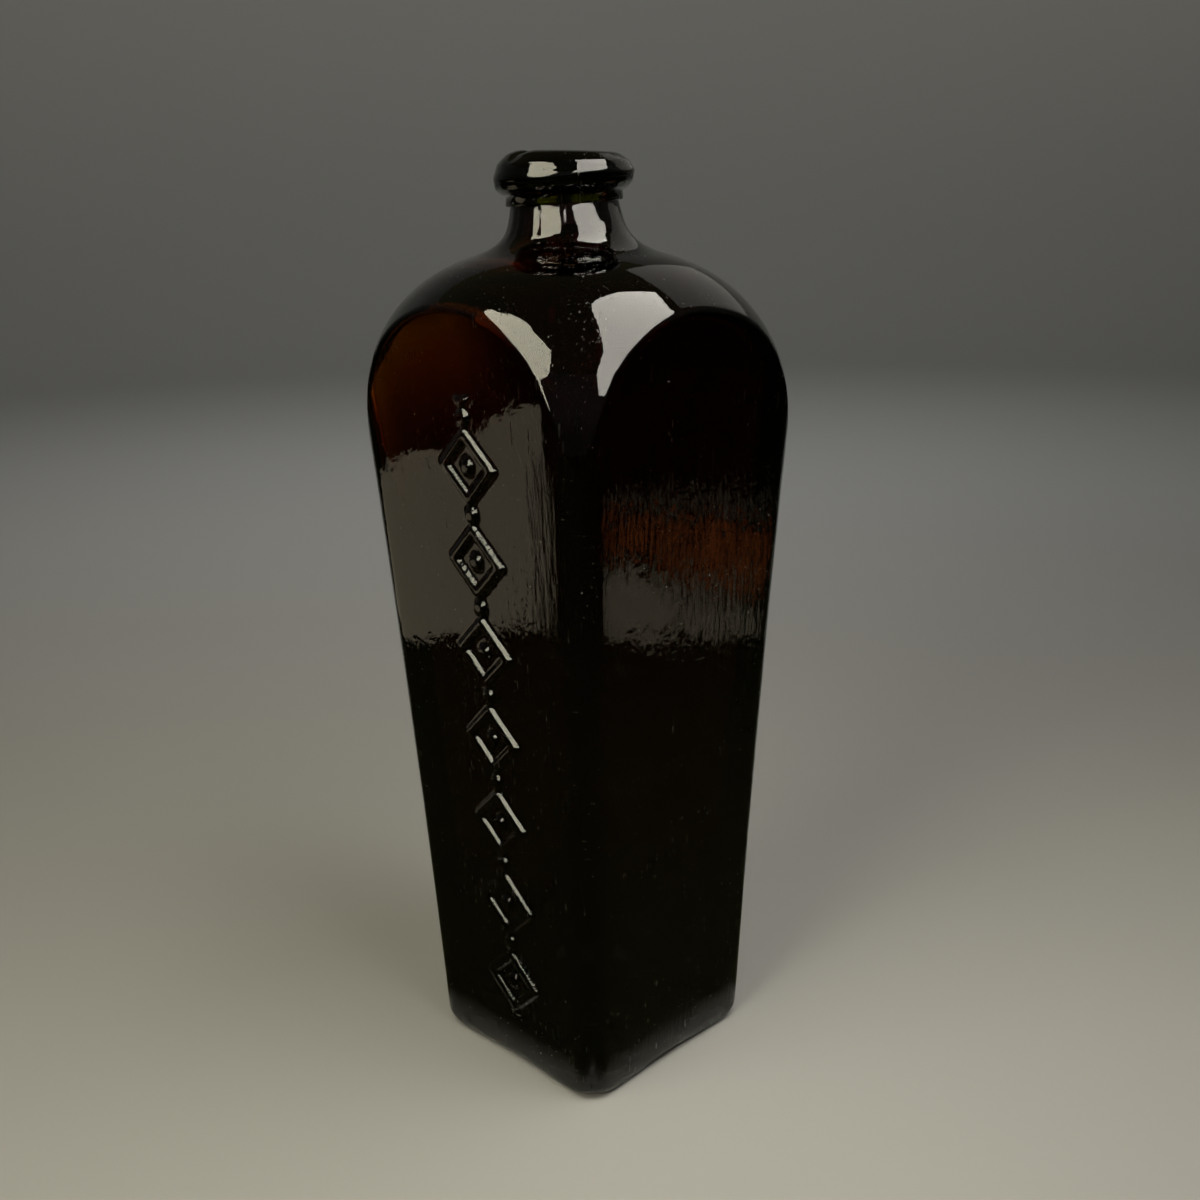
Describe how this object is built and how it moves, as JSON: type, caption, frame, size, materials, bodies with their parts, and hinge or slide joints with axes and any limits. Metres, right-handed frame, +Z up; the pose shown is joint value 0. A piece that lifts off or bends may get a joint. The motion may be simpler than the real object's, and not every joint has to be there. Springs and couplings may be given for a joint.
{
  "type": "gin bottle",
  "caption": "Square case gin bottle of dark olive-amber glass: tapered hollow body, arched flat sides, domed shoulder, short flared neck and an applied ring lip.",
  "frame": {"origin": "middle of the base, on the surface that the bottle stands on", "axes": "+Z up the bottle; +X and +Y square to two of its flat sides; the neck leans towards the corner between -X and -Y"},
  "size_m": [0.0933, 0.0933, 0.2655],
  "materials": {
    "body_glass": "glossy, near-black olive-amber",
    "lip_glass": "glossy, near-black olive"
  },
  "bodies": {
    "root": {"blown_body": "body_glass", "applied_lip": "lip_glass"}
  },
  "joints": []
}
